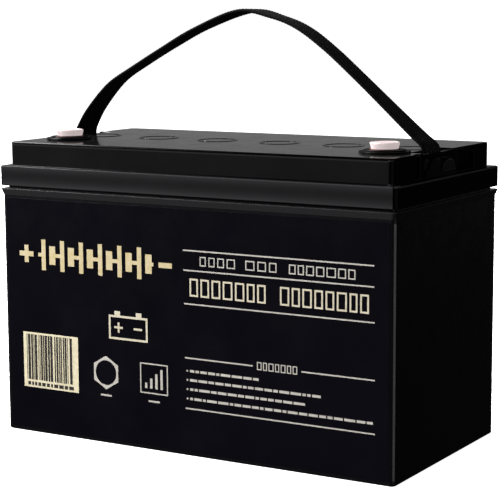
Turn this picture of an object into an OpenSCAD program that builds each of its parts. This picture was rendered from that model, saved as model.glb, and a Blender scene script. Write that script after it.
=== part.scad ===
// Deep cycle battery: six-cell sealed 12 V block with a webbing carrying strap.
// Millimetres, +Z up, long side on X, label face towards -Y, base on Z = 0.

/* [Case] */
// Length of the case over its walls
case_length = 330; // [326:1:334]
// Width of the case over its walls
case_width = 171; // [168:1:174]
// Outer wall thickness
wall_t = 5; // [4.6:0.1:5]
// Base thickness
base_t = 5; // [4:0.5:6]
// Thickness of the partitions between cells
part_t = 2; // [1.6:0.1:2.2]
// Radius of the upright corners
corner_r = 4; // [3:0.5:5]

/* [Lid] */
// Height of the lid top above the base
lid_top = 221; // [219:1:224]
// Inset of the raised block from the case walls
block_inset = 4.7; // [4.5:0.1:4.8]
// Overhang of the skirt past the case walls
skirt_over = 1.4; // [1:0.1:1.6]
// Diameter of the round vent covers
cover_d = 29.8; // [27:0.2:29.8]
// Distance of the vent line behind the centre line
vent_y = 2; // [0:0.5:3]

/* [Terminals] */
// Distance of the terminals in front of the centre line
terminal_y = 40; // [39:0.5:41]
// Outer diameter of the terminal collars
collar_d = 36; // [34:0.5:36]
// Wall diameter of the tapped hole for an M8 screw
tap_d = 6.8; // [6.6:0.1:6.9]
// Depth of the tapped hole
tap_depth = 18; // [14:1:18]
// Height of the protective caps
cap_h = 6.2; // [5.8:0.1:7]

/* [Strap] */
// Width of the webbing
strap_w = 26; // [20:1:26]
// Thickness of the webbing
strap_t = 2.6; // [1.8:0.1:2.8]
// Angle between the strap and the long axis
strap_turn = 3.1; // [2.8:0.1:3.3]

/* [Label] */
// Thickness of the front label
label_t = 0.25; // [0.2:0.05:0.5]

/* [Hidden] */
half_l = case_length / 2;
label_low = 3;
label_high = 179.2;
half_w = case_width / 2;
rim_low = 181.2;
rim_mid = 183;
rim_top = 186;
rim_out = 1.4;
tongue_top = 192.6;
partition_top = 187.9;
tongue_t = 2.3;
skirt_low = 188.2;
ledge_z = 203.2;
top_t = 4;
channel_top = 193;
channel_gap = 0.3;
lid_wall = 3.6;
lid_in_l = case_length - 2 * (block_inset + lid_wall);
lid_in_w = case_width - 2 * (block_inset + lid_wall);
lid_under = lid_top - top_t;
cells = 6;
inner_l = case_length - 2 * wall_t;
inner_w = case_width - 2 * wall_t;
cell_w = (inner_l - (cells - 1) * part_t) / cells;
pitch = cell_w + part_t;
round_fn = 72;
eps = 0.5;

// Plates, separators and lead work
pos_plates = 5;
pos_t = 3.7;
neg_t = 2.9;
sep_t = 1.15;
plate_gap = 0.05;
plate_w = 150;
plate_low = 9;
plate_top = 158;
sep_low = 8;
rest_w = 4;
sep_top = 161;
sep_w = 154;
lug_w = 12;
lug_top = 172;
bus_y = 42;
bus_w = 22;
bus_top = 178;
bus_l = 46;
tab_t = 3;
tab_w = 18;
tab_top = 188;
link_z = 183;
link_d = 7;
link_gap = 0.3;
stack_step = pos_t + neg_t + 2 * sep_t;
stack_l = pos_plates * stack_step + neg_t;

// Terminals
term_x = (cells - 1) / 2 * pitch;
post_d = 14;
insert_low = 196;
insert_flange_d = 22;
insert_flange_h = 4;
insert_body_d = 18;
insert_step_z = 212;
insert_d = 16;
insert_top = lid_top + 1.8;
insert_gap = 0.2;
boss_d = 30;
boss_low = 193.5;
collar_h = 1.4;
collar_in_d = 29.5;
collar_in_h = 2.4;
collar_bore = 21;
seal_d = 20.9;
seal_h = 1.1;
seal_gap = 0.05;
lip_h = 3;
lip_t = 0.4;
cap_low = lid_top + 1.25;
cap_r_low = 9.2;
cap_r_top = 10.4;
cap_r_in = 8.4;
cap_roof = 1.2;
cap_foot_h = 1.4;
cap_foot_flare = 0.15;
cap_rim_h = 0.8;
cap_rim_in = 0.5;

// Vents
cover_t = 1.8;
cover_seat_gap = 0.1;
bead_h = 0.3;
bead_w = 0.8;
cover_gap = 0.3;
well_r = 11.5;
well_wall = 2.5;
well_floor = 206;
well_floor_t = 2.5;
spigot_r = 4.5;
spigot_bore = 2;
spigot_top = 215.5;
valve_r = 7;
valve_in_r = 4.7;
valve_low = 210;
valve_top = 217.6;
valve_roof = 1.8;

// Strap anchors, drawn for the right end and turned half round for the left
pivot_z = 208;
anchor_x = half_l - 10.7;
pocket_in = half_l - 15.5;
pocket_deep = half_l - 6;
pocket_out = half_l - block_inset;
pocket_y0 = -36;
pocket_y1 = 53;
pocket_low = 194.5;
sill_z = 204;
lintel_z = 216.5;
housing_wall = 4;
housing_side = 3;
housing_low = 191.5;
slot_in = half_l - 16;
slot_out = half_l - 8;
slot_y0 = -34.5;
slot_y1 = 17.5;
bar_top = lid_top - 1;
notch_y0 = 20.5;
notch_y1 = 32;
notch_top = lid_top - 1.2;
groove_y0 = -45;
groove_y1 = -38.5;
groove_deep = 2.6;
scallop_y = 19.5;
scallop_z = 200;
scallop_r = 13.5;
scallop_x = half_l - 9;
shoe_t = 7;
shoe_r = 13;
shoe_hub_r = 8;
shoe_slot_low = 201.8;
shoe_slot_gap = 0.1;
trunnion_r = 3;
trunnion_l = 2.6;
trunnion_gap = 0.06;
trunnion_end_gap = 0.4;
shoe_x = anchor_x / cos(strap_turn);

// Shape of the strap: distance along it from the middle, then height
strap_points = [
    [-154.3, 202], [-154.3, 212], [-154.35, 216], [-154.75, 220.5], [-154, 225], [-150.9, 231], [-144, 241],
    [-131, 255], [-119, 265], [-101, 275], [-72, 290], [-40, 305], [0, 317.5], [28, 313], [50, 305], [73, 290],
    [98, 270], [122, 250], [143.5, 232], [152.2, 225.2], [154.65, 220.5], [154.35, 216], [154.3, 212],
    [154.3, 202]];
strap_steps = 4;
strap_scale = shoe_x / 154.3;

black = [0.05, 0.05, 0.055];
lead = [0.42, 0.43, 0.45];

function cell_x(i) = (i - (cells - 1) / 2) * pitch;
// Side of a cell on which its positive plates are joined
function pos_side(i) = i % 2 == 0 ? 1 : -1;

module rounded(l, w, r) {
    square([l - 2 * r, w], center = true);
    square([l, w - 2 * r], center = true);
    for (sx = [-1, 1], sy = [-1, 1])
        translate([sx * (l / 2 - r), sy * (w / 2 - r)]) circle(r = r, $fn = round_fn);
}

module slab(l, w, r, z0, z1) {
    translate([0, 0, z0]) linear_extrude(z1 - z0) rounded(l, w, r);
}

module disc(r, z0, z1) {
    translate([0, 0, z0]) cylinder(r = r, h = z1 - z0, $fn = round_fn);
}

module box(x0, x1, y0, y1, z0, z1) {
    translate([x0, y0, z0]) cube([x1 - x0, y1 - y0, z1 - z0]);
}

module at_cells() {
    for (i = [0 : cells - 1]) translate([cell_x(i), 0, 0]) children();
}

module at_terminals() {
    for (s = [-1, 1]) translate([s * term_x, -terminal_y, 0]) children();
}

module both_ends() {
    for (a = [0, 180]) rotate([0, 0, a]) children();
}

// Frame of the right-hand strap pivot: X along the hinge line
module at_pivot() {
    rotate([0, 0, -strap_turn]) translate([shoe_x, 0, pivot_z]) children();
}

module case() color(black) {
    difference() {
        union() {
            slab(case_length, case_width, corner_r, 0, rim_low);
            slab(case_length + rim_out, case_width + rim_out, corner_r, rim_low, rim_mid);
            slab(case_length + 2 * rim_out, case_width + 2 * rim_out, corner_r, rim_mid, rim_top);
            slab(inner_l + 2 * tongue_t, inner_w + 2 * tongue_t, corner_r, rim_top, tongue_top);
        }
        at_cells() box(-cell_w / 2, cell_w / 2, -inner_w / 2, inner_w / 2, base_t, lid_top);
        box(-inner_l / 2, inner_l / 2, -inner_w / 2, inner_w / 2, partition_top, lid_top);
        for (i = [0 : cells - 2])
            translate([cell_x(i) + pitch / 2, pos_side(i) * bus_y, link_z]) rotate([0, 90, 0])
                cylinder(d = link_d + 2 * link_gap, h = part_t + 2 * eps, center = true, $fn = round_fn);
    }
    // Low rests that hold the plate packs off the base
    at_cells() for (s = [-1, 1])
        box(-cell_w / 2, cell_w / 2, s * bus_y - rest_w / 2, s * bus_y + rest_w / 2, base_t, sep_low);
}

module front_label() color([0.05, 0.045, 0.06]) {
    box(-half_l + corner_r, half_l - corner_r, -half_w - label_t, -half_w, label_low, label_high);
}

module lid_shell() {
    difference() {
        union() {
            slab(case_length + 2 * skirt_over, case_width + 2 * skirt_over, corner_r, skirt_low, ledge_z);
            slab(2 * pocket_out, case_width - 2 * block_inset, corner_r, ledge_z, lid_top);
        }
        slab(lid_in_l, lid_in_w, corner_r, skirt_low - eps, lid_under);
        difference() {
            slab(inner_l + 2 * (tongue_t + channel_gap), inner_w + 2 * (tongue_t + channel_gap),
                 corner_r, skirt_low - eps, channel_top);
            slab(inner_l - 2 * channel_gap, inner_w - 2 * channel_gap, corner_r, 0, lid_top);
        }
    }
    for (i = [0 : cells - 2]) translate([cell_x(i) + pitch / 2, 0, 0])
        box(-part_t / 2, part_t / 2, -lid_in_w / 2 - eps, lid_in_w / 2 + eps, skirt_low, lid_under + eps);
    at_terminals() disc(boss_d / 2, boss_low, lid_under + eps);
    at_cells() translate([0, vent_y, 0]) disc(well_r + well_wall, well_floor, lid_under + eps);
    both_ends()
        box(pocket_in - housing_wall, pocket_out - eps, pocket_y0 - housing_side, pocket_y1 + housing_side,
            housing_low, lid_under + eps);
}

module terminal_holes() {
    at_terminals() {
        disc(insert_flange_d / 2 + insert_gap, boss_low - eps, insert_low + insert_flange_h + insert_gap);
        disc(insert_body_d / 2 + insert_gap, insert_low, insert_step_z + insert_gap);
        disc(insert_d / 2 + insert_gap, insert_low, lid_top + eps);
    }
}

module vent_wells() {
    at_cells() translate([0, vent_y, 0]) {
        disc(cover_d / 2 + cover_gap, lid_top - cover_t - cover_seat_gap, lid_top + eps);
        difference() {
            disc(well_r, well_floor + well_floor_t, lid_top);
            disc(spigot_r, well_floor, spigot_top);
        }
        disc(spigot_bore, well_floor - eps, lid_top);
    }
}

module anchor_pocket() {
    box(pocket_in, pocket_deep, pocket_y0, pocket_y1, pocket_low, sill_z + eps);
    box(pocket_in, pocket_out + eps, pocket_y0, pocket_y1, sill_z, lintel_z);
    box(slot_in, slot_out, slot_y0, slot_y1, lintel_z - eps, lid_top + eps);
    box(slot_out - eps, pocket_out + eps, slot_y0, slot_y1, bar_top, lid_top + eps);
    box(slot_out, pocket_out + eps, notch_y0, notch_y1, lintel_z - eps, notch_top);
    box(pocket_out - groove_deep, pocket_out + eps, groove_y0, groove_y1, ledge_z, lid_top + eps);
    at_pivot() translate([-shoe_t / 2 - trunnion_l - trunnion_end_gap, 0, 0]) rotate([0, 90, 0])
        cylinder(r = trunnion_r + trunnion_gap, h = trunnion_l + trunnion_end_gap + 4 * eps, $fn = round_fn);
}

module anchor_scallop() {
    intersection() {
        translate([pocket_in - eps, scallop_y, scallop_z]) rotate([0, 90, 0])
            cylinder(r = scallop_r, h = scallop_x - pocket_in + eps, $fn = round_fn);
        box(pocket_in - eps, scallop_x + 1, pocket_y0, pocket_y1, pocket_low - eps, lid_top);
    }
}

module lid() color(black) {
    difference() {
        lid_shell();
        terminal_holes();
        vent_wells();
        both_ends() anchor_pocket();
    }
    both_ends() anchor_scallop();
}

module collar(s) color(black) translate([s * term_x, -terminal_y, 0]) {
    difference() {
        union() {
            disc(collar_d / 2, lid_top, lid_top + collar_h);
            disc(collar_in_d / 2, lid_top, lid_top + collar_in_h);
        }
        disc(collar_bore / 2, lid_top - eps, lid_top + collar_in_h + eps);
    }
}

module seal(s) color([0.45, 0.03, 0.04]) translate([s * term_x, -terminal_y, 0]) {
    difference() {
        disc(seal_d / 2, lid_top, lid_top + lip_h);
        disc(seal_d / 2 - lip_t, lid_top + seal_h, lid_top + lip_h + eps);
        disc(insert_d / 2 + seal_gap, lid_top - eps, lid_top + lip_h);
    }
}

module terminal(s) color([0.78, 0.62, 0.3]) translate([s * term_x, -terminal_y, 0]) {
    difference() {
        union() {
            disc(insert_flange_d / 2, insert_low, insert_low + insert_flange_h);
            disc(insert_body_d / 2, insert_low, insert_step_z);
            disc(insert_d / 2, insert_low, insert_top);
        }
        disc(tap_d / 2, insert_top - tap_depth, insert_top + eps);
    }
}

module post(s) color(lead) translate([s * term_x, -terminal_y, 0]) {
    disc(post_d / 2, bus_top, insert_low);
}

module cap(s) color([0.93, 0.86, 0.86, 0.6]) translate([s * term_x, -terminal_y, cap_low]) {
    rotate_extrude($fn = round_fn) polygon([
        [cap_r_in, 0], [cap_r_low, 0], [cap_r_low + cap_foot_flare, cap_foot_h], [cap_r_top, cap_h - cap_rim_h],
        [cap_r_top - cap_rim_in, cap_h], [0, cap_h], [0, cap_h - cap_roof], [cap_r_in, cap_h - cap_roof]]);
}

module vent_cover(i) color(black) translate([cell_x(i), vent_y, 0]) {
    difference() {
        disc(cover_d / 2, lid_top - cover_t, lid_top + bead_h);
        disc(cover_d / 2 - bead_w, lid_top, lid_top + bead_h + eps);
    }
}

module valve_cap(i) color([0.12, 0.12, 0.12]) translate([cell_x(i), vent_y, 0]) {
    difference() {
        disc(valve_r, valve_low, valve_top);
        disc(valve_in_r, valve_low - eps, valve_top - valve_roof);
    }
}

// One plate with the lug that carries it to its busbar
module plate(t, side) {
    box(-t / 2, t / 2, -plate_w / 2, plate_w / 2, plate_low, plate_top);
    translate([0, side * bus_y, 0]) box(-t / 2, t / 2, -lug_w / 2, lug_w / 2, plate_top - eps, lug_top);
}

module positive_plates(i) color([0.3, 0.19, 0.14]) translate([cell_x(i) - stack_l / 2, 0, 0]) {
    for (k = [0 : pos_plates - 1])
        translate([neg_t + sep_t + pos_t / 2 + k * stack_step, 0, 0]) plate(pos_t - plate_gap, pos_side(i));
}

module negative_plates(i) color(lead) translate([cell_x(i) - stack_l / 2, 0, 0]) {
    for (k = [0 : pos_plates])
        translate([neg_t / 2 + k * stack_step, 0, 0]) plate(neg_t - plate_gap, -pos_side(i));
}

module separators(i) color([0.92, 0.92, 0.9]) translate([cell_x(i) - stack_l / 2, 0, 0]) {
    for (k = [0 : pos_plates - 1], x = [neg_t, neg_t + sep_t + pos_t])
        translate([x + k * stack_step, 0, 0])
            box(plate_gap, sep_t - plate_gap, -sep_w / 2, sep_w / 2, sep_low, sep_top);
}

// Cast bar over the lugs; toward is the side of its upright tab, 0 for none
module busbar(i, side, toward) translate([cell_x(i), side * bus_y, 0]) {
    box(-bus_l / 2, bus_l / 2, -bus_w / 2, bus_w / 2, lug_top, bus_top);
    if (toward != 0) {
        translate([toward * (cell_w / 2 - tab_t / 2 - link_gap), 0, 0])
            box(-tab_t / 2, tab_t / 2, -tab_w / 2, tab_w / 2, lug_top, tab_top);
        translate([toward * (bus_l / 2 - eps), 0, 0]) mirror([toward < 0 ? 1 : 0, 0, 0])
            box(0, cell_w / 2 - bus_l / 2 - link_gap, -tab_w / 2, tab_w / 2, lug_top, bus_top);
    }
}

module positive_busbars() color(lead) {
    for (i = [0 : cells - 1]) busbar(i, pos_side(i), i < cells - 1 ? 1 : 0);
}

module negative_busbars() color(lead) {
    for (i = [0 : cells - 1]) busbar(i, -pos_side(i), i > 0 ? -1 : 0);
}

module cell_links() color(lead) {
    for (i = [0 : cells - 2])
        translate([cell_x(i) + pitch / 2, pos_side(i) * bus_y, link_z]) rotate([0, 90, 0])
            cylinder(d = link_d, h = part_t + 2 * link_gap - plate_gap, center = true, $fn = round_fn);
}

// Smooth curve through the strap points
function curve(a, b, c, d, u) = 0.5 * (2 * b + (c - a) * u + (2 * a - 5 * b + 4 * c - d) * u * u
    + (3 * b - a - 3 * c + d) * u * u * u);
last_point = len(strap_points) - 1;
strap_line = concat([for (i = [0 : last_point - 1], k = [0 : strap_steps - 1])
    curve(strap_points[max(i - 1, 0)], strap_points[i], strap_points[i + 1],
          strap_points[min(i + 2, last_point)], k / strap_steps)], [strap_points[last_point]]);
last_line = len(strap_line) - 1;
function across(i) = let (v = strap_line[min(i + 1, last_line)] - strap_line[max(i - 1, 0)])
    [-v[1], v[0]] / norm(v);
function scaled(p) = [p[0] * strap_scale, p[1]];
strap_outline = concat(
    [for (i = [0 : last_line]) scaled(strap_line[i] + across(i) * strap_t / 2)],
    [for (i = [last_line : -1 : 0]) scaled(strap_line[i] - across(i) * strap_t / 2)]);

module strap() color([0.06, 0.06, 0.065]) {
    rotate([0, 0, -strap_turn]) translate([0, strap_w / 2, 0]) rotate([90, 0, 0])
        linear_extrude(strap_w) polygon(strap_outline);
}

module strap_shoe() {
    at_pivot() difference() {
        union() {
            intersection() {
                translate([-shoe_t / 2, 0, 0]) rotate([0, 90, 0])
                    cylinder(r = shoe_r, h = shoe_t, $fn = round_fn);
                box(-shoe_t, shoe_t, -shoe_r - 1, shoe_r + 1, -shoe_r - 1, 0);
            }
            translate([-shoe_t / 2, 0, 0]) rotate([0, 90, 0])
                cylinder(r = shoe_hub_r, h = shoe_t, $fn = round_fn);
            translate([-shoe_t / 2 - trunnion_l, 0, 0]) rotate([0, 90, 0])
                cylinder(r = trunnion_r, h = trunnion_l + eps, $fn = round_fn);
        }
        box(-strap_t / 2 - shoe_slot_gap, strap_t / 2 + shoe_slot_gap,
            -strap_w / 2 - shoe_slot_gap, strap_w / 2 + shoe_slot_gap,
            shoe_slot_low - pivot_z, shoe_hub_r + 1);
    }
}

module strap_shoe_right() color([0.08, 0.08, 0.085]) strap_shoe();
module strap_shoe_left() color([0.08, 0.08, 0.085]) rotate([0, 0, 180]) strap_shoe();

case();
lid();
front_label();
collar(-1);  // collar_negative
collar(1);  // collar_positive
seal(-1);  // seal_negative
seal(1);  // seal_positive
terminal(-1);  // terminal_negative
terminal(1);  // terminal_positive
post(-1);  // post_negative
post(1);  // post_positive
cap(-1);  // cap_negative
cap(1);  // cap_positive
vent_cover(0);  // vent_cover_1
vent_cover(1);  // vent_cover_2
vent_cover(2);  // vent_cover_3
vent_cover(3);  // vent_cover_4
vent_cover(4);  // vent_cover_5
vent_cover(5);  // vent_cover_6
valve_cap(0);  // valve_cap_1
valve_cap(1);  // valve_cap_2
valve_cap(2);  // valve_cap_3
valve_cap(3);  // valve_cap_4
valve_cap(4);  // valve_cap_5
valve_cap(5);  // valve_cap_6
positive_plates(0);  // positive_plates_1
positive_plates(1);  // positive_plates_2
positive_plates(2);  // positive_plates_3
positive_plates(3);  // positive_plates_4
positive_plates(4);  // positive_plates_5
positive_plates(5);  // positive_plates_6
negative_plates(0);  // negative_plates_1
negative_plates(1);  // negative_plates_2
negative_plates(2);  // negative_plates_3
negative_plates(3);  // negative_plates_4
negative_plates(4);  // negative_plates_5
negative_plates(5);  // negative_plates_6
separators(0);  // separators_1
separators(1);  // separators_2
separators(2);  // separators_3
separators(3);  // separators_4
separators(4);  // separators_5
separators(5);  // separators_6
positive_busbars();
negative_busbars();
cell_links();
strap();
strap_shoe_left();
strap_shoe_right();
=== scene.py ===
import math
import random

import bmesh
import bpy
from mathutils import Matrix, Vector


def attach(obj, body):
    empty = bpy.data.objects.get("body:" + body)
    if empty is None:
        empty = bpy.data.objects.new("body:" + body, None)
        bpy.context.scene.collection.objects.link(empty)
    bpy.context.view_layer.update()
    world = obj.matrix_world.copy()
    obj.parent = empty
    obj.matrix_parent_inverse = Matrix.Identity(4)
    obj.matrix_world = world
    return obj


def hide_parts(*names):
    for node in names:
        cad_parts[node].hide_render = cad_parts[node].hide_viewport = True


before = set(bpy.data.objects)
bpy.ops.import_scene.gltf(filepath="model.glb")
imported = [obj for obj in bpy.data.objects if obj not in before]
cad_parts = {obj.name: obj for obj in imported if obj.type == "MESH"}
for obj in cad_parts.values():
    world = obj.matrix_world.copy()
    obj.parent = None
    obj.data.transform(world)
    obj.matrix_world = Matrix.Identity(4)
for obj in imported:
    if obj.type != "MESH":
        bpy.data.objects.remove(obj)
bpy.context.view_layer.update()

MM = 0.001

# ---------------------------------------------------------------- sizes, in millimetres
HALF_L, HALF_W, CORNER_R = 165.0, 85.5, 4.0
WALL_T, BASE_T, PART_T = 5.0, 5.0, 2.0
RIM_LOW, RIM_OUT_Z, RIM_TOP, RIM_OUT = 181.2, 185.4, 186.0, 1.4
TONGUE_TOP, TONGUE_IN, PARTITION_TOP = 192.6, 2.7, 187.9
SKIRT_LOW, SKIRT_OUT, LEDGE_Z = 188.2, 1.4, 203.2
BLOCK_IN, LID_TOP, LID_UNDER = 4.7, 221.0, 217.0
LID_IN_L, LID_IN_W = 156.7, 77.2
CHANNEL_TOP, CHANNEL_OUT, CHANNEL_IN = 193.0, 2.4, 5.3
CELLS = 6
CELL_W = (2 * (HALF_L - WALL_T) - (CELLS - 1) * PART_T) / CELLS
PITCH = CELL_W + PART_T
CELL_X = [(i - (CELLS - 1) / 2) * PITCH for i in range(CELLS)]
INNER_L, INNER_W = HALF_L - WALL_T, HALF_W - WALL_T
BUS_Y, LINK_Z, LINK_R, SEP_LOW = 42.0, 183.0, 3.8, 8.0
TERM_X, TERM_Y = CELL_X[-1], -40.0
VENT_Y, COVER_R, COVER_T, COVER_UP, BEAD_W = 2.0, 14.9, 1.8, 0.3, 0.8
LABEL_T = 0.25
PIVOT_Z, TURN = 208.0, math.radians(3.1)
ANCHOR_X = HALF_L - 10.7
SHOE_X = ANCHOR_X / math.cos(TURN)
OVER = 1.0  # how far a cutting tool reaches past the face it opens


# ---------------------------------------------------------------- mesh building
def new_object(name, bm):
    mesh = bpy.data.meshes.new(name)
    bmesh.ops.recalc_face_normals(bm, faces=bm.faces)
    bm.to_mesh(mesh)
    bm.free()
    obj = bpy.data.objects.new(name, mesh)
    bpy.context.scene.collection.objects.link(obj)
    return obj


def settle(obj):
    """Replaces the mesh by what the modifiers make of it."""
    graph = bpy.context.evaluated_depsgraph_get()
    graph.update()
    mesh = bpy.data.meshes.new_from_object(obj.evaluated_get(graph))
    old = obj.data
    obj.modifiers.clear()
    obj.data = mesh
    bpy.data.meshes.remove(old)
    mesh.name = obj.name
    return obj


def combine(obj, tool, operation="DIFFERENCE"):
    mod = obj.modifiers.new("b", "BOOLEAN")
    mod.operation, mod.solver, mod.object = operation, "EXACT", tool
    settle(obj)
    mesh = tool.data
    bpy.data.objects.remove(tool)
    bpy.data.meshes.remove(mesh)
    return obj


def bevel(obj, width, segments=2, angle=40):
    mod = obj.modifiers.new("bevel", "BEVEL")
    mod.width, mod.segments, mod.limit_method = width, segments, "ANGLE"
    mod.angle_limit = math.radians(angle)
    mod.use_clamp_overlap = False
    mod.miter_outer = "MITER_ARC"
    return settle(obj)


def smooth(obj, angle=32):
    obj.data.shade_smooth()
    obj.data.set_sharp_from_angle(angle=math.radians(angle))
    mod = obj.modifiers.new("normals", "WEIGHTED_NORMAL")
    mod.keep_sharp, mod.weight = True, 80
    return obj


def to_metres(obj):
    obj.data.transform(Matrix.Scale(MM, 4))
    return obj


def round_path(points, seg=5):
    """points are (a, b, c, radius). Each corner of the path in a and b is rounded by its radius, and c
    follows along."""
    out = []
    for i, p in enumerate(points):
        r = p[3]
        if r <= 0 or i in (0, len(points) - 1):
            out.append(p[:3])
            continue
        before, here, after = (Vector(q[:3]) for q in points[i - 1 : i + 2])
        one, two = before - here, after - here
        a, b = Vector(one[:2]), Vector(two[:2])
        turn = math.acos(max(-1, min(1, a.normalized().dot(b.normalized()))))
        back = r / math.tan(turn / 2)
        s, e = here + one * (back / a.length), here + two * (back / b.length)
        for k in range(seg + 1):
            t = k / seg
            ang = (math.pi - turn) * (t - 0.5)
            mid = (math.pi - turn) / 2
            u = 0.5 + 0.5 * math.sin(ang) / math.sin(mid)
            lift = (math.cos(ang) - math.cos(mid)) / (1 - math.cos(mid)) if mid else 0
            chord = s.lerp(e, u)
            top = here.lerp((s + e) / 2, 1 - (1 / math.cos(mid) - 1) / (1 / math.cos(mid) - math.cos(mid)))
            out.append(tuple(chord + (top - (s + e) / 2) * lift))
    return out


def rounded_ring(off, z, r, seg=8):
    hl, hw = HALF_L + off, HALF_W + off
    pts = []
    corners = ((hl - r, hw - r, 0), (r - hl, hw - r, 90), (r - hl, r - hw, 180), (hl - r, r - hw, 270))
    for cx, cy, a0 in corners:
        for k in range(seg + 1):
            a = math.radians(a0 + 90 * k / seg)
            pts.append((cx + r * math.cos(a), cy + r * math.sin(a), z))
    return pts


def join_rings(bm, rings):
    """Joins each closed ring of vertices to the next."""
    count = len(rings[0])
    for a, b in zip(rings, rings[1:]):
        for k in range(count):
            j = (k + 1) % count
            bm.faces.new((a[k], a[j], b[j], b[k]))


def skin(bm, rings):
    """Joins the rings and closes both ends."""
    join_rings(bm, rings)
    bm.faces.new(rings[0])
    bm.faces.new(rings[-1])


def loft(name, rings):
    bm = bmesh.new()
    loops = [[bm.verts.new(p) for p in ring] for ring in rings]
    join_rings(bm, loops)
    bm.faces.new(list(reversed(loops[0])))
    bm.faces.new(loops[-1])
    return new_object(name, bm)


def shell(name, path, seg=5):
    """path: (offset from the case walls, height, corner radius, rounding radius)"""
    return loft(name, [rounded_ring(o, z, r) for o, z, r in round_path(path, seg)])


def box(x0, x1, y0, y1, z0, z1, flare=0.0, side=None):
    """A block. side is "x" or "z": its far end widens by flare over the last flare of its length, which
    leaves a chamfer round the opening it cuts."""
    bm = bmesh.new()

    def rect_x(x, e):
        return [(x, y0 - e, z0 - e), (x, y1 + e, z0 - e), (x, y1 + e, z1 + e), (x, y0 - e, z1 + e)]

    def rect_z(z, e):
        return [(x0 - e, y0 - e, z), (x1 + e, y0 - e, z), (x1 + e, y1 + e, z), (x0 - e, y1 + e, z)]

    if side == "x":
        rings = [rect_x(x0, 0), rect_x(x1 - OVER - flare, 0), rect_x(x1, flare + OVER)]
    elif side == "z":
        rings = [rect_z(z0, 0), rect_z(z1 - OVER - flare, 0), rect_z(z1, flare + OVER)]
    else:
        rings = [rect_z(z0, 0), rect_z(z1, 0)]
    skin(bm, [[bm.verts.new(p) for p in ring] for ring in rings])
    return new_object("tool", bm)


def circle_row(bm, x, y, r, z, seg):
    """A level circle of vertices, or one vertex on the axis."""
    if r < 1e-6:
        return [bm.verts.new((x, y, z))]
    angles = [2 * math.pi * k / seg for k in range(seg)]
    return [bm.verts.new((x + r * math.cos(a), y + r * math.sin(a), z)) for a in angles]


def join_rows(bm, rows):
    """Joins each row of vertices to the next. A row of one vertex is a point on the axis."""
    for a, b in zip(rows, rows[1:]):
        seg = max(len(a), len(b))
        if seg == 1:
            continue
        for k in range(seg):
            j = (k + 1) % seg
            if len(a) == 1:
                bm.faces.new((a[0], b[j], b[k]))
            elif len(b) == 1:
                bm.faces.new((a[k], a[j], b[0]))
            else:
                bm.faces.new((a[k], a[j], b[j], b[k]))


def turned(name, profile, x=0.0, y=0.0, seg=64, closed=False):
    """Turns a profile of (radius, height) about an upright axis. A closed profile comes back to its start, as
    a ring's does. An open one starts and ends on the axis."""
    bm = bmesh.new()
    rows = [circle_row(bm, x, y, r, z, seg) for r, z in profile]
    join_rows(bm, rows + rows[:1] if closed else rows)
    return new_object(name, bm)


def soft_profile(points, seg=3):
    """points are (radius, height, rounding)."""
    return [(a, b) for a, b, _ in round_path([(r, z, 0.0, e) for r, z, e in points], seg)]


def prism_x(name, outline, x0, x1):
    """An outline of (y, z) carried along X."""
    bm = bmesh.new()
    skin(bm, [[bm.verts.new((x, y, z)) for y, z in outline] for x in (x0, x1)])
    return new_object(name, bm)


def cylinder_x(x0, x1, y, z, r, seg=48):
    angles = [2 * math.pi * k / seg for k in range(seg)]
    return prism_x("tool", [(y + r * math.cos(a), z + r * math.sin(a)) for a in angles], x0, x1)


def turn_end(tool, end):
    """The anchors are drawn at the right-hand end; the left-hand one is the same turned half round."""
    if end:
        tool.data.transform(Matrix.Rotation(math.pi, 4, "Z"))
    return tool


def at_pivot(obj):
    obj.data.transform(Matrix.Rotation(-TURN, 4, "Z") @ Matrix.Translation((SHOE_X, 0, PIVOT_Z)))
    return obj


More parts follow.
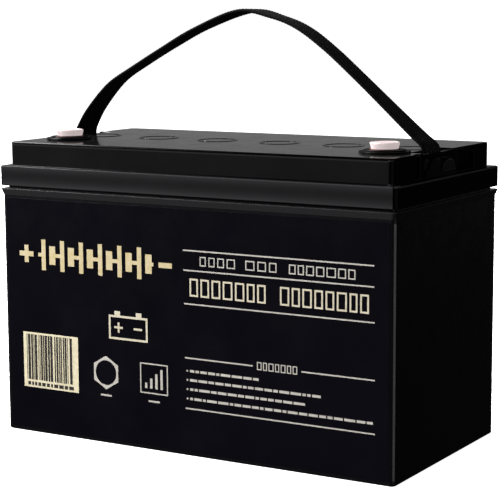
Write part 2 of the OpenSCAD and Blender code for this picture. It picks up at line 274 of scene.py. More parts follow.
# ---------------------------------------------------------------- materials
class Material:
    def __init__(self, name):
        self.material = bpy.data.materials.new(name)
        self.material.use_nodes = True
        self.tree = self.material.node_tree
        self.bsdf = next(n for n in self.tree.nodes if n.type == "BSDF_PRINCIPLED")
        self.where = self.tree.nodes.new("ShaderNodeTexCoord").outputs["Object"]

    def set(self, **values):
        for k, v in values.items():
            self.bsdf.inputs[k.replace("_", " ")].default_value = v
        return self

    def link(self, a, b):
        self.tree.links.new(a, b)
        return a

    def put(self, socket, value):
        if isinstance(value, (int, float, tuple)):
            socket.default_value = value
        else:
            self.link(value, socket)

    def scaled(self, x, y, z):
        node = self.tree.nodes.new("ShaderNodeMapping")
        node.inputs["Scale"].default_value = (x, y, z)
        self.link(self.where, node.inputs["Vector"])
        return node.outputs["Vector"]

    def noise(self, scale, detail=3.0, rough=0.5, vector=None):
        node = self.tree.nodes.new("ShaderNodeTexNoise")
        node.inputs["Scale"].default_value = scale
        node.inputs["Detail"].default_value = detail
        node.inputs["Roughness"].default_value = rough
        self.link(vector or self.where, node.inputs["Vector"])
        return node.outputs["Fac"]

    def span(self, value, a0, a1, b0, b1):
        node = self.tree.nodes.new("ShaderNodeMapRange")
        for key, v in (("From Min", a0), ("From Max", a1), ("To Min", b0), ("To Max", b1)):
            node.inputs[key].default_value = v
        self.link(value, node.inputs["Value"])
        return node.outputs["Result"]

    def calc(self, operation, a, b=0.0):
        node = self.tree.nodes.new("ShaderNodeMath")
        node.operation = operation
        self.put(node.inputs[0], a)
        self.put(node.inputs[1], b)
        return node.outputs[0]

    def mix(self, factor, a, b):
        node = self.tree.nodes.new("ShaderNodeMix")
        node.data_type = "RGBA"
        self.put(node.inputs["Factor"], factor)
        colours = [s for s in node.inputs if s.type == "RGBA"]
        self.put(colours[0], a)
        self.put(colours[1], b)
        return next(s for s in node.outputs if s.type == "RGBA")

    def axis(self, name):
        node = self.tree.nodes.new("ShaderNodeSeparateXYZ")
        self.link(self.where, node.inputs[0])
        return node.outputs[name]

    def window(self, windows):
        """1 where the size of each named coordinate lies between its two limits, in metres."""
        total = 1.0
        for name, low, high in windows:
            where = self.calc("ABSOLUTE", self.axis(name))
            inside = self.calc("MULTIPLY", self.span(where, low - 0.0002, low + 0.0002, 0.0, 1.0),
                               self.span(where, high - 0.0002, high + 0.0002, 1.0, 0.0))
            total = self.calc("MULTIPLY", inside, total)
        return total

    def bump(self, height, strength, distance, before=None):
        node = self.tree.nodes.new("ShaderNodeBump")
        node.inputs["Strength"].default_value = strength
        node.inputs["Distance"].default_value = distance
        self.link(height, node.inputs["Height"])
        if before:
            self.link(before, node.inputs["Normal"])
        return node.outputs["Normal"]

    def edges(self, radius):
        """Near 1 on edges and 0 on flat faces: how far the rounded normal leans from the real one."""
        soft = self.tree.nodes.new("ShaderNodeBevel")
        soft.samples = 4
        soft.inputs["Radius"].default_value = radius
        real = self.tree.nodes.new("ShaderNodeNewGeometry")
        dot = self.tree.nodes.new("ShaderNodeVectorMath")
        dot.operation = "DOT_PRODUCT"
        self.link(soft.outputs["Normal"], dot.inputs[0])
        self.link(real.outputs["Normal"], dot.inputs[1])
        return self.span(dot.outputs["Value"], 0.99, 0.85, 0.0, 1.0)

    def attribute(self, name):
        node = self.tree.nodes.new("ShaderNodeAttribute")
        node.attribute_name = name
        return node.outputs["Vector"]

    def surface(self, tint, a, b, gloss, low, high, relief, strength, depth, full=0.7):
        """Colour between a and b, roughness from low to high, and a bump, each led by a noise of its own,
        given as (scale, detail, roughness). The colour has reached b where its noise is at full."""
        share = self.span(self.noise(*tint), 0.35, full, 0.0, 1.0)
        self.link(self.mix(share, a, b), self.bsdf.inputs["Base Color"])
        self.link(self.span(self.noise(*gloss), 0.3, 0.7, low, high), self.bsdf.inputs["Roughness"])
        self.link(self.bump(self.noise(*relief), strength, depth), self.bsdf.inputs["Normal"])
        return self


def grey(v, blue=0.0):
    return (v, v * (1 - blue * 0.5), v * (1 + blue), 1.0)


def moulded(name, dark, light, rough, grain, level, painted_zones=(), blue=0.1, worn=None, dull=(), corner=None,
            painted_skirt_light=None):
    """Moulded black plastic: a fine spark-eroded grain and faint flow mottling.
    The zones are parts painted another shade as painted light and shade, each (shade, then the (axis, low,
    high) windows it lies in), and dull lists those with hardly any sheen. worn is the shade of rubbed edges,
    and corner the shade and sheen of a painted highlight on the upright corners, where a lamp's reflection
    falls. The belt is the skirt's painted light and shade: up to a top, its shade runs from low at a middle
    height to high at a reach from it."""
    m = Material(name)
    mottle = m.span(m.noise(14.0, 4.0, 0.55), 0.35, 0.7, 0.0, 1.0)
    colour = m.mix(mottle, grey(dark, blue), grey(light, blue))
    sheen = level
    if worn:
        rubbed = m.calc("MULTIPLY", m.edges(0.0009), m.span(m.noise(160.0, 3.0), 0.42, 0.62, 0.15, 0.8))
        colour = m.mix(rubbed, colour, grey(worn, blue * 0.5))
    # Painted light and shade on the skirt: lighter than elsewhere, darkest at a middle height
    if painted_skirt_light:
        top, middle, reach, low, high = painted_skirt_light
        off = m.calc("MULTIPLY", m.calc("ABSOLUTE", m.calc("SUBTRACT", m.axis("Z"), middle)), 1 / reach)
        painted_skirt_shade = m.mix(m.calc("MULTIPLY", off, off), grey(low, 0.04), grey(high, 0.04))
        colour = m.mix(m.window([("Z", 0.0, top)]), colour, painted_skirt_shade)
    # Painted light and shade by place
    for shade, *windows in painted_zones:
        colour = m.mix(m.window(windows), colour, grey(shade, 0.04))
    for windows in dull:
        part = m.window(windows)
        sheen = m.calc("MULTIPLY", m.span(part, 0.0, 1.0, 1.0, 0.1), sheen)
    # Painted highlight on the upright corners: a band of the rounding, lighter and glossier, where a lamp's
    # reflection falls
    if corner:
        shade, shine = corner
        across = m.calc("SUBTRACT", m.calc("ABSOLUTE", m.axis("X")), (HALF_L - CORNER_R) * MM)
        along = m.calc("SUBTRACT", m.calc("ABSOLUTE", m.axis("Y")), (HALF_W - CORNER_R) * MM)
        turn = m.calc("ARCTAN2", across, along)
        painted_highlight = m.calc("MULTIPLY", m.span(turn, 0.56, 0.68, 0.0, 1.0), m.span(turn, 1.0, 1.12, 1.0, 0.0))
        painted_highlight = m.calc("MULTIPLY", painted_highlight, m.window([("Z", 0.004, 0.1785)]))
        painted_highlight = m.calc("MULTIPLY", painted_highlight, m.calc("GREATER_THAN", along, 0.0))
        colour = m.mix(painted_highlight, colour, grey(shade))
        sheen = m.calc("ADD", level, m.calc("MULTIPLY", painted_highlight, shine))
    m.link(colour, m.bsdf.inputs["Base Color"])
    if isinstance(sheen, float):
        m.set(Specular_IOR_Level=sheen)
    else:
        m.link(sheen, m.bsdf.inputs["Specular IOR Level"])
    m.link(m.span(m.noise(60.0, 5.0, 0.6), 0.3, 0.7, rough - 0.04, rough + 0.04), m.bsdf.inputs["Roughness"])
    fine = m.noise(1900.0, 2.0, 0.5)
    wavy = m.noise(22.0, 2.0, 0.4)
    m.link(m.bump(fine, grain, 0.00008, m.bump(wavy, 0.03, 0.0003)), m.bsdf.inputs["Normal"])
    return m


# Painted light and shade by place, in metres. On the case: the rim's band painted lighter, less so at its
# ends, and painted shade on the tongue above it, in the gap under the lid, and on the end faces
RIM_BAND = ("Z", 0.1812, 0.1861)
# The case carries painted light and shade: the zones below, and with corner a painted highlight on the
# upright corners
case_m = moulded("case_plastic", 0.0046, 0.0060, 0.28, 0.20, 0.09, blue=0.14, worn=0.016,
                 corner=(0.045, 0.25), painted_zones=[
                     (0.0240, RIM_BAND), (0.0070, ("X", 0.1649, 0.2), RIM_BAND), (0.0040, ("Z", 0.1863, 0.2)),
                     (0.0022, ("X", 0.1644, 0.2), ("Z", -0.01, 0.1812))])
# On the lid, painted light and shade: painted shade on the ends, painted highlight lines along their edges,
# and painted highlight and shade bands at the ledge, round the top and at the skirt's foot
LID_ENDS = [[("X", 0.1574, 0.2), ("Z", 0.2032, 0.2209)], [("X", 0.1632, 0.2), ("Z", 0.18, 0.2034)]]
LID_HIGHLIGHT_LINES = [(0.045, ("X", 0.1640, 0.2), ("Z", 0.2020, 0.2031)),
             (0.040, ("X", 0.1568, 0.16), ("Z", 0.2033, 0.2041)),
             (0.040, ("X", 0.1568, 0.16), ("Z", 0.2191, 0.2199))]
LID_LIGHT_AND_SHADE_BANDS = [(0.0280, ("Z", 0.2020, 0.2030)), (0.0006, ("Z", 0.2031, 0.2038)),
             (0.0170, ("Z", 0.2184, 0.2194)), (0.0006, ("Z", 0.2195, 0.2209)), (0.0060, ("Z", 0.18, 0.1886))]
# The lid's zones and its skirt belt are painted light and shade: the skirt lighter than the block, darkest at
# a middle height
lid_m = moulded("lid_plastic", 0.0060, 0.0078, 0.12, 0.06, 0.22, blue=0.02,
                painted_zones=LID_LIGHT_AND_SHADE_BANDS + [(0.0012, *windows) for windows in LID_ENDS] + LID_HIGHLIGHT_LINES,
                dull=LID_ENDS + [[("Z", 0.2195, 0.22085)], [("Z", 0.2018, 0.2038)]],
                painted_skirt_light=(0.2031, 0.1962, 0.0072, 0.0112, 0.0290))
collar_m = moulded("collar_plastic", 0.0010, 0.0018, 0.34, 0.2, 0.03, blue=0.0, worn=0.003)
vent_m = moulded("vent_plastic", 0.0060, 0.0078, 0.12, 0.06, 0.22, blue=0.02)
# The strap shoes are painted near black, with hardly any sheen: painted shade for the dark pocket they sit in
shoe_shaded_m = moulded("shoe_plastic", 0.0005, 0.0009, 0.50, 0.4, 0.03, blue=0.0, worn=0.002)

# Label film: printed black on a satin polyester sheet, with a faint orange-peel ripple
label_m = Material("label_film").surface(
    (9.0, 3.0), (0.0026, 0.0023, 0.0040, 1), (0.0036, 0.0032, 0.0055, 1), (40.0, 4.0), 0.22, 0.32,
    (420.0, 2.0), 0.12, 0.0002)
label_m.set(Specular_IOR_Level=0.06)


def ink(name, a, b, rough, metallic=0.0):
    """Screen-printed ink: a little uneven in depth, with pinholes."""
    m = Material(name)
    m.surface((260.0, 4.0, 0.6), a, b, (700.0, 2.0), rough - 0.08, rough + 0.08, (1500.0, 2.0), 0.15, 0.00004,
              full=0.68)
    m.set(Metallic=metallic, Specular_IOR_Level=0.3)
    return m


gold_m = ink("ink_gold", (0.54, 0.435, 0.22, 1), (0.61, 0.52, 0.34, 1), 0.5)
pale_m = ink("ink_pale_gold", (0.56, 0.50, 0.37, 1), (0.64, 0.58, 0.45, 1), 0.5)
cream_m = ink("ink_cream", (0.62, 0.55, 0.38, 1), (0.74, 0.67, 0.47, 1), 0.5)
white_m = ink("ink_white", (0.44, 0.41, 0.37, 1), (0.54, 0.51, 0.46, 1), 0.5)
dark_m = ink("ink_dark", (0.010, 0.009, 0.008, 1), (0.022, 0.019, 0.016, 1), 0.5)

# Milky polypropylene cap, which also glows a little: painted light that keeps its tone even
cap_m = Material("cap_polypropylene").surface(
    (180.0, 4.0), (0.22, 0.18, 0.18, 1), (0.34, 0.30, 0.30, 1), (300.0, 3.0), 0.28, 0.44,
    (900.0, 2.0), 0.2, 0.0001)
# The emission is painted light, not a lamp: it brightens the cap's shaded side
cap_m.set(Subsurface_Weight=0.4, Subsurface_Scale=0.001, Emission_Color=(1.0, 0.84, 0.83, 1),
          Emission_Strength=0.48)
cap_m.bsdf.inputs["Subsurface Radius"].default_value = (1.0, 0.7, 0.7)

# Rubber sealing ring
seal_m = Material("seal_rubber").surface(
    (200.0, 4.0), (0.045, 0.003, 0.004, 1), (0.085, 0.006, 0.007, 1), (400.0, 3.0), 0.45, 0.65,
    (1500.0, 3.0), 0.4, 0.0001)


def metal(name, a, b, rough, scale=220.0):
    m = Material(name)
    m.surface((scale * 0.3, 5.0, 0.6), a, b, (scale, 4.0, 0.6), rough - 0.1, rough + 0.12,
              (scale * 5, 3.0), 0.3, 0.00008)
    m.set(Metallic=1.0)
    return m


brass_m = metal("terminal_brass", (0.52, 0.36, 0.14, 1), (0.68, 0.50, 0.24, 1), 0.32)
lead_m = metal("cast_lead", (0.16, 0.165, 0.18, 1), (0.26, 0.265, 0.28, 1), 0.5)


def pasted(name, a, b):
    """Active mass pasted into a cast grid: a chalky surface with the grid's bars showing through."""
    m = Material(name)
    bars = m.tree.nodes.new("ShaderNodeTexBrick")
    bars.offset = 0.0
    for key, v in (("Scale", 1.0), ("Mortar Size", 0.0006), ("Brick Width", 0.011), ("Row Height", 0.009)):
        bars.inputs[key].default_value = v
    turn = m.tree.nodes.new("ShaderNodeMapping")
    turn.inputs["Rotation"].default_value = (0, math.radians(90), math.radians(90))
    m.link(m.where, turn.inputs["Vector"])
    m.link(turn.outputs["Vector"], bars.inputs["Vector"])
    crumb = m.span(m.noise(350.0, 5.0, 0.65), 0.3, 0.7, 0.0, 1.0)
    m.link(m.mix(m.calc("MULTIPLY", bars.outputs["Fac"], 0.6), m.mix(crumb, a, b), (0.2, 0.2, 0.21, 1)),
           m.bsdf.inputs["Base Color"])
    m.link(m.span(crumb, 0.0, 1.0, 0.75, 0.95), m.bsdf.inputs["Roughness"])
    m.link(m.bump(crumb, 0.5, 0.0002, m.bump(bars.outputs["Fac"], 0.4, 0.0003)), m.bsdf.inputs["Normal"])
    return m


positive_m = pasted("positive_mass", (0.060, 0.028, 0.016, 1), (0.110, 0.055, 0.032, 1))
negative_m = pasted("negative_mass", (0.13, 0.135, 0.14, 1), (0.21, 0.215, 0.22, 1))

separator_m = Material("glass_mat")
fibres = separator_m.noise(90.0, 8.0, 0.75, separator_m.scaled(1.0, 0.25, 3.0))
separator_m.link(separator_m.mix(separator_m.span(fibres, 0.3, 0.7, 0.0, 1.0), (0.66, 0.67, 0.66, 1),
                                 (0.86, 0.87, 0.86, 1)), separator_m.bsdf.inputs["Base Color"])
separator_m.link(separator_m.span(fibres, 0.3, 0.7, 0.85, 1.0), separator_m.bsdf.inputs["Roughness"])
separator_m.link(separator_m.bump(fibres, 0.7, 0.0003), separator_m.bsdf.inputs["Normal"])

valve_m = Material("valve_rubber").surface(
    (250.0, 4.0), grey(0.012), grey(0.028), (500.0, 3.0), 0.55, 0.75, (1400.0, 3.0), 0.4, 0.0001)

# Webbing: the weave is in the mesh; the material adds each yarn's filaments, painted shade in the gaps
# between yarns, lighter rubbed fuzz on the crowns that also serves as painted glints, and painted shade along
# the band's edges
web_m = Material("webbing_yarn")
weave = web_m.attribute("weave")
split = web_m.tree.nodes.new("ShaderNodeSeparateXYZ")
web_m.link(weave, split.inputs[0])
crown = split.outputs["Z"]
yarn_map = web_m.tree.nodes.new("ShaderNodeMapping")
yarn_map.inputs["Scale"].default_value = (7.0, 1.1, 0.0)
web_m.link(weave, yarn_map.inputs["Vector"])
filament = web_m.noise(1.0, 3.0, 0.6, yarn_map.outputs["Vector"])
flat_map = web_m.tree.nodes.new("ShaderNodeMapping")
flat_map.inputs["Scale"].default_value = (1.0, 1.0, 0.0)
web_m.link(weave, flat_map.inputs["Vector"])
fuzz = web_m.span(web_m.noise(0.55, 3.0, 0.7, flat_map.outputs["Vector"]), 0.50, 0.64, 0.0, 1.0)
# Painted shade: the yarns run to near black in the gaps between them, and are lightest on their crowns
yarn = web_m.mix(web_m.span(crown, 0.25, 0.95, 0.0, 1.0), (0.0004, 0.0004, 0.0005, 1),
                 (0.0195, 0.0190, 0.0195, 1))
# Lighter specks on the crowns, partly rubbed fuzz and partly painted glints
rubbed = web_m.calc("MULTIPLY", fuzz, web_m.span(crown, 0.5, 1.0, 0.0, 0.8))
yarn = web_m.mix(rubbed, yarn, (0.22, 0.213, 0.217, 1))
yarn = web_m.mix(web_m.span(filament, 0.35, 0.7, 0.0, 0.6), yarn, (0.002, 0.002, 0.002, 1))
# Painted shade along the band's edges, with their sheen cut too
painted_edge_shade = web_m.span(web_m.calc("ABSOLUTE", split.outputs["X"]), 11.2, 12.4, 0.0, 0.75)
yarn = web_m.mix(painted_edge_shade, yarn, (0.003, 0.003, 0.003, 1))
web_m.link(yarn, web_m.bsdf.inputs["Base Color"])
web_m.link(web_m.span(filament, 0.3, 0.7, 0.5, 0.75), web_m.bsdf.inputs["Roughness"])
web_m.link(web_m.bump(filament, 0.6, 0.0001), web_m.bsdf.inputs["Normal"])
web_m.link(web_m.span(painted_edge_shade, 0.0, 0.75, 0.07, 0.022), web_m.bsdf.inputs["Specular IOR Level"])


def finish_piece(obj, body, material, nodes=()):
    obj.data.materials.clear()
    obj.data.materials.append(material.material)
    to_metres(obj)
    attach(obj, body)
    if nodes:
        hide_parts(*nodes)
    return obj


# ---------------------------------------------------------------- case
case = shell("case_shell", [
    (-3.0, 0.0, 1.0, 0), (0.0, 0.0, 4.0, 2.0), (0.0, RIM_LOW, 4.0, 3.0), (RIM_OUT, RIM_OUT_Z, 4.0, 0.25),
    (RIM_OUT, RIM_TOP, 4.0, 0.3), (-TONGUE_IN, RIM_TOP, 4.0, 0), (-TONGUE_IN, TONGUE_TOP, 4.0, 0.5),
    (-4.9, TONGUE_TOP, 1.8, 0)])
combine(case, box(-INNER_L, INNER_L, -INNER_W, INNER_W, PARTITION_TOP, TONGUE_TOP + OVER))
for x in CELL_X:
    # Well of one cell, with two low rests left standing on its floor
    w = INNER_W
    outline = [(-w, BASE_T), (-BUS_Y - 2, BASE_T), (-BUS_Y - 2, SEP_LOW), (-BUS_Y + 2, SEP_LOW),
               (-BUS_Y + 2, BASE_T), (BUS_Y - 2, BASE_T), (BUS_Y - 2, SEP_LOW), (BUS_Y + 2, SEP_LOW),
               (BUS_Y + 2, BASE_T), (w, BASE_T), (w, TONGUE_TOP + OVER), (-w, TONGUE_TOP + OVER)]
    combine(case, prism_x("tool", outline, x - CELL_W / 2, x + CELL_W / 2))
for i in range(CELLS - 1):
    mid = CELL_X[i] + PITCH / 2
    combine(case, cylinder_x(mid - PART_T, mid + PART_T, BUS_Y if i % 2 == 0 else -BUS_Y, LINK_Z, LINK_R))
smooth(case)
finish_piece(case, "battery", case_m, ["case"])

# ---------------------------------------------------------------- lid
# At the right-hand end: a pocket open to the end face, a slot in the top over it, and the details round them
POCKET_IN, POCKET_DEEP, POCKET_OUT = HALF_L - 15.5, HALF_L - 6, HALF_L - BLOCK_IN
POCKET_Y0, POCKET_Y1, POCKET_LOW, SILL_Z, LINTEL_Z = -36.0, 53.0, 194.5, 204.0, 216.5
SLOT_IN, SLOT_OUT, SLOT_Y0, SLOT_Y1, BAR_TOP = HALF_L - 16.0, HALF_L - 8, -34.5, 17.5, LID_TOP - 1
NOTCH_Y0, NOTCH_Y1, NOTCH_TOP = 20.5, 32.0, LID_TOP - 1.2
GROOVE_Y0, GROOVE_Y1, GROOVE_DEEP = -45.0, -38.5, 2.6
SCALLOP_Y, SCALLOP_Z, SCALLOP_R, SCALLOP_X = 19.5, 200.0, 13.5, HALF_L - 9
POCKET_BACK_T, POCKET_SIDE_T, CHAMFER = 4.0, 3.0, 0.45
# Tools that stop in the roof of the lid end at IN_ROOF, and those that go through it at ABOVE
IN_ROOF, ABOVE = LID_UNDER + OVER, LID_TOP + OVER
VENT_BOSS_R, VENT_BOSS_LOW, TERM_BOSS_R, TERM_BOSS_LOW = 14.0, 206.0, 15.0, 193.5
# Flange, neck and stem of the terminal insert, and the play and lower end of its bore
FLANGE_R, NECK_R, STEM_R, FLANGE_LOW, FLANGE_TOP, NECK_TOP = 11.0, 9.0, 8.0, 196.0, 200.0, 212.0
PLAY, BORE_LOW = 0.2, 193.0
# Under each vent cover: gas passage, spigot, well and seat, with a chamfer up to the lid's top
GAS_R, GAS_LOW, SPIGOT_R, SPIGOT_TOP, WELL_R, WELL_LOW = 2.0, 205.0, 4.5, 215.5, 11.5, 208.5
SEAT_R, SEAT_LOW, SEAT_CHAMFER = 15.2, 219.1, 0.4
# Shoe of the strap and the pin that carries it
SHOE_HALF_T, SHOE_LOW_R, SHOE_TOP_R, PIN_LONG, PIN_R = 3.5, 13, 8, 2.6, 3.0

lid = shell("lid_shell", [
    (-3.0, SKIRT_LOW, 1.0, 0), (SKIRT_OUT, SKIRT_LOW, 4.0, 0.6), (SKIRT_OUT, LEDGE_Z, 4.0, 0.9),
    (-BLOCK_IN, LEDGE_Z, 4.0, 0.5), (-BLOCK_IN, LID_TOP, 4.0, 1.3), (-BLOCK_IN - 3, LID_TOP, 1.0, 0)], 6)

channel = loft("tool", [rounded_ring(-CHANNEL_OUT, z, 4.0) for z in (SKIRT_LOW - OVER, CHANNEL_TOP)])
combine(channel, loft("tool", [rounded_ring(-CHANNEL_IN, z, 4.0)
                               for z in (SKIRT_LOW - 2 * OVER, CHANNEL_TOP + OVER)]))
combine(lid, channel)
for i, x in enumerate(CELL_X):
    x0 = -LID_IN_L if i == 0 else x - CELL_W / 2
    x1 = LID_IN_L if i == CELLS - 1 else x + CELL_W / 2
    room = box(x0, x1, -LID_IN_W, LID_IN_W, SKIRT_LOW - OVER, LID_UNDER)
    combine(room, turned("tool", [(0, VENT_BOSS_LOW), (VENT_BOSS_R, VENT_BOSS_LOW), (VENT_BOSS_R, IN_ROOF),
                                  (0, IN_ROOF)], x, VENT_Y))
    if i in (0, CELLS - 1):
        combine(room, turned("tool", [(0, TERM_BOSS_LOW), (TERM_BOSS_R, TERM_BOSS_LOW),
                                      (TERM_BOSS_R, IN_ROOF), (0, IN_ROOF)], x, TERM_Y))
        housing = box(POCKET_IN - POCKET_BACK_T, HALF_L, POCKET_Y0 - POCKET_SIDE_T, POCKET_Y1 + POCKET_SIDE_T,
                      POCKET_LOW - POCKET_SIDE_T, IN_ROOF)
        combine(room, turn_end(housing, i == 0))
    combine(lid, room)
for x in (-TERM_X, TERM_X):
    combine(lid, turned("tool", [
        (0, BORE_LOW), (FLANGE_R + PLAY, BORE_LOW), (FLANGE_R + PLAY, FLANGE_TOP + PLAY),
        (NECK_R + PLAY, FLANGE_TOP + PLAY), (NECK_R + PLAY, NECK_TOP + PLAY),
        (STEM_R + PLAY, NECK_TOP + PLAY), (STEM_R + PLAY, ABOVE), (0, ABOVE)], x, TERM_Y))
for x in CELL_X:
    combine(lid, turned("tool", [
        (0, GAS_LOW), (GAS_R, GAS_LOW), (GAS_R, SPIGOT_TOP), (SPIGOT_R, SPIGOT_TOP), (SPIGOT_R, WELL_LOW),
        (WELL_R, WELL_LOW), (WELL_R, SEAT_LOW), (SEAT_R, SEAT_LOW), (SEAT_R, LID_TOP - SEAT_CHAMFER),
        (SEAT_R + SEAT_CHAMFER + OVER, ABOVE), (0, ABOVE)], x, VENT_Y))
for end in (0, 1):
    tools = [
        box(POCKET_IN, POCKET_DEEP, POCKET_Y0, POCKET_Y1, POCKET_LOW, SILL_Z + 0.5),
        box(POCKET_IN, POCKET_OUT + OVER, POCKET_Y0, POCKET_Y1, SILL_Z, LINTEL_Z, CHAMFER, "x"),
        box(SLOT_IN, SLOT_OUT, SLOT_Y0, SLOT_Y1, LINTEL_Z - 0.5, ABOVE, CHAMFER, "z"),
        box(SLOT_OUT - 0.5, POCKET_OUT + OVER, SLOT_Y0, SLOT_Y1, BAR_TOP, ABOVE),
        box(SLOT_OUT, POCKET_OUT + OVER, NOTCH_Y0, NOTCH_Y1, LINTEL_Z - 0.5, NOTCH_TOP, CHAMFER, "x"),
        box(POCKET_OUT - GROOVE_DEEP, POCKET_OUT + OVER, GROOVE_Y0, GROOVE_Y1, LEDGE_Z + 0.2, ABOVE, 0.35,
            "x")]
    pin = cylinder_x(-SHOE_HALF_T - PIN_LONG - 0.4, -SHOE_HALF_T + 1.6, 0, 0, PIN_R + 0.06)
    for tool in tools:
        combine(lid, turn_end(tool, end))
    combine(lid, turn_end(at_pivot(pin), end))
    boss = cylinder_x(POCKET_IN - 0.5, SCALLOP_X, SCALLOP_Y, SCALLOP_Z, SCALLOP_R)
    combine(boss, box(POCKET_IN - 1, HALF_L, POCKET_Y0, POCKET_Y1, POCKET_LOW - 0.5, LID_TOP), "INTERSECT")
    bevel(boss, 0.6, 3)
    combine(lid, turn_end(boss, end), "UNION")
smooth(lid)
finish_piece(lid, "battery", lid_m, ["lid"])

# ---------------------------------------------------------------- collars, seals, terminals, caps, covers
COLLAR_R, COLLAR_STEP_R, COLLAR_BORE_R, COLLAR_STEP_T, COLLAR_T = 18.0, 14.75, 10.5, 1.4, 2.4
SEAL_BORE_R, SEAL_LIP_R, SEAL_R, SEAL_FLOOR_T, SEAL_T = 8.05, 10.05, 10.45, 1.1, 3.0
# M8 thread: depth, radii and pitch, and the steps of its mesh round a turn and along the axis
TERM_UP, THREAD_DEEP, MINOR_R, MAJOR_R, THREAD_PITCH = 1.8, 18.0, 3.4, 4.0, 1.25
THREAD_SEG, THREAD_RISE = 48, THREAD_PITCH / 12
CAP_UP, CAP_INNER_R, CAP_ROOF = 1.25, 8.4, 5.0
for side, x in (("negative", -TERM_X), ("positive", TERM_X)):
    z = LID_TOP
    collar = turned(f"collar_{side}_ring", soft_profile([
        (COLLAR_BORE_R, z, 0), (COLLAR_R, z, 0), (COLLAR_R, z + COLLAR_STEP_T, 0.5),
        (COLLAR_STEP_R, z + COLLAR_STEP_T, 0.35), (COLLAR_STEP_R, z + COLLAR_T, 0.45),
        (COLLAR_BORE_R, z + COLLAR_T, 0.35), (COLLAR_BORE_R, z, 0)])[:-1], x, TERM_Y, 96, True)
    smooth(collar)
    finish_piece(collar, "battery", collar_m, [f"collar_{side}"])

    seal = turned(f"seal_{side}_ring", soft_profile([
        (SEAL_BORE_R, z, 0), (SEAL_R, z, 0), (SEAL_R, z + SEAL_T, 0.15), (SEAL_LIP_R, z + SEAL_T, 0.15),
        (SEAL_LIP_R, z + SEAL_FLOOR_T, 0.2), (SEAL_BORE_R, z + SEAL_FLOOR_T, 0.3), (SEAL_BORE_R, z, 0)])[:-1],
        x, TERM_Y, 72, True)
    smooth(seal)
    finish_piece(seal, "battery", seal_m, [f"seal_{side}"])

    # Brass insert with its thread cut as a real helix below a lead-in
    top = z + TERM_UP
    outer = soft_profile([
        (0, FLANGE_LOW, 0), (FLANGE_R, FLANGE_LOW, 0.3), (FLANGE_R, FLANGE_TOP, 0.4), (NECK_R, FLANGE_TOP, 0),
        (NECK_R, NECK_TOP, 0.4), (STEM_R, NECK_TOP, 0), (STEM_R, top, 0.5), (MAJOR_R + 0.3, top, 0)])
    bm = bmesh.new()
    rows = [circle_row(bm, x, TERM_Y, r, h, THREAD_SEG) for r, h in outer]
    turns = int((THREAD_DEEP - 1.0) / THREAD_RISE) + 1
    for n in range(turns):
        h = top - 0.7 - n * THREAD_RISE
        fade = min(1.0, n / 6, (turns - 1 - n) / 12)
        row = []
        for k in range(THREAD_SEG):
            phase = (h / THREAD_PITCH + k / THREAD_SEG) % 1.0
            flank = max(0.0, 1 - abs(phase - 0.5) * 2 / 0.875)
            r = MINOR_R + (MAJOR_R - MINOR_R) * flank * fade + 0.45 * max(0.0, 1 - n / 5)
            angle = 2 * math.pi * k / THREAD_SEG
            row.append(bm.verts.new((x + r * math.cos(angle), TERM_Y + r * math.sin(angle), h)))
        rows.append(row)
    rows.append([bm.verts.new((x, TERM_Y, top - THREAD_DEEP))])
    join_rows(bm, rows)
    terminal = new_object(f"terminal_{side}_insert", bm)
    smooth(terminal, 40)
    finish_piece(terminal, "battery", brass_m, [f"terminal_{side}"])

    low = z + CAP_UP
    cap = turned(f"cap_{side}_cup", soft_profile([
        (CAP_INNER_R, low, 0), (9.2, low, 0.3), (9.35, low + 1.4, 0), (10.4, low + 5.4, 0.4),
        (9.9, low + 6.2, 0.45), (9.1, low + 6.2, 0.15), (8.8, low + 5.9, 0.2), (0, low + 5.9, 0)])
        + [(0, low + CAP_ROOF), (CAP_INNER_R, low + CAP_ROOF)], x, TERM_Y, 72, True)
    smooth(cap)
    finish_piece(cap, f"cap_{'neg' if side == 'negative' else 'pos'}", cap_m, [f"cap_{side}"])

for i, x in enumerate(CELL_X):
    z = LID_TOP
    cover = turned(f"vent_disc_{i + 1}", soft_profile([
        (0, z - COVER_T, 0), (COVER_R, z - COVER_T, 0.2), (COVER_R, z + COVER_UP, 0.05),
        (COVER_R - BEAD_W, z + COVER_UP, 0.05), (COVER_R - BEAD_W, z, 0), (0, z, 0)]), x, VENT_Y, 96)
    smooth(cover, 45)
    finish_piece(cover, "battery", vent_m, [f"vent_cover_{i + 1}"])

# ---------------------------------------------------------------- strap shoes
for name, end in (("right", 0), ("left", 1)):
    arc = [math.pi + math.pi * k / 36 for k in range(37)]
    outline = [(SHOE_LOW_R * math.cos(a), SHOE_LOW_R * math.sin(a)) for a in arc]
    arc = [math.pi * k / 24 for k in range(25)]
    outline += [(SHOE_TOP_R * math.cos(a), SHOE_TOP_R * math.sin(a)) for a in arc]
    shoe = prism_x(f"strap_shoe_{name}_body", outline, -SHOE_HALF_T, SHOE_HALF_T)
    # Slot for the band, from its end upwards
    combine(shoe, box(-1.45, 1.45, -13.1, 13.1, 201.8 - PIVOT_Z, 9.0))
    bevel(shoe, 0.4, 3)
    combine(shoe, cylinder_x(-SHOE_HALF_T - PIN_LONG, -SHOE_HALF_T + 0.1, 0, 0, PIN_R), "UNION")
    smooth(shoe)
    turn_end(at_pivot(shoe), end)
    finish_piece(shoe, "handle", shoe_shaded_m, [f"strap_shoe_{name}"])

